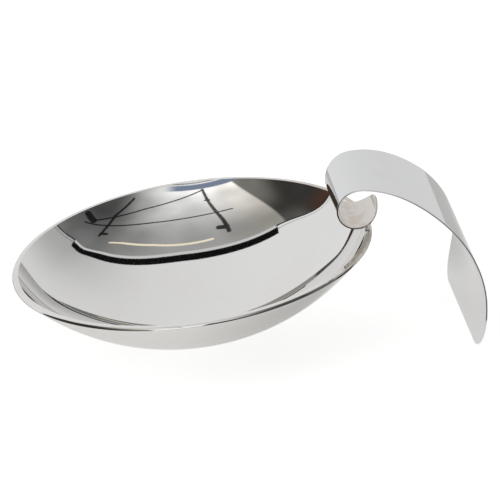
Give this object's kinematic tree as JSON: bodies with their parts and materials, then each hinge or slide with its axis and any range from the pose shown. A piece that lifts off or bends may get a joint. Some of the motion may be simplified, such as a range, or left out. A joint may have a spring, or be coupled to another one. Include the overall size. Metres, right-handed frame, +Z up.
{
  "type": "footed bowl",
  "caption": "Shallow round bowl, tilted, held up on one side by a flared metal strip that rolls into a scroll on the rim and arches down to the table.",
  "frame": {"origin": "centre of the small flat on which the bowl's round underside rests, on the table and straight below the centre of the bowl's sphere", "axes": "+Z up from the table. +X along the table towards the raised side of the rim and the strip's foot, the longest way through the object. +Y away from the side shown in the picture."},
  "size_m": [0.3502, 0.27, 0.1181],
  "materials": {
    "bowl_plate": "mirror-polished silver plate on brass, fine wiping scratches",
    "rim_plate": "polished silver plate on brass, slightly worn at the edges",
    "strip_plate": "polished silver plate on brass, light warm tarnish inside the scroll",
    "solder": "dull silver solder under the plate"
  },
  "bodies": {
    "root": {"bowl": "bowl_plate", "rim_wire": "rim_plate", "scroll_strip_foot": "strip_plate", "scroll_solder": "solder"}
  },
  "joints": []
}
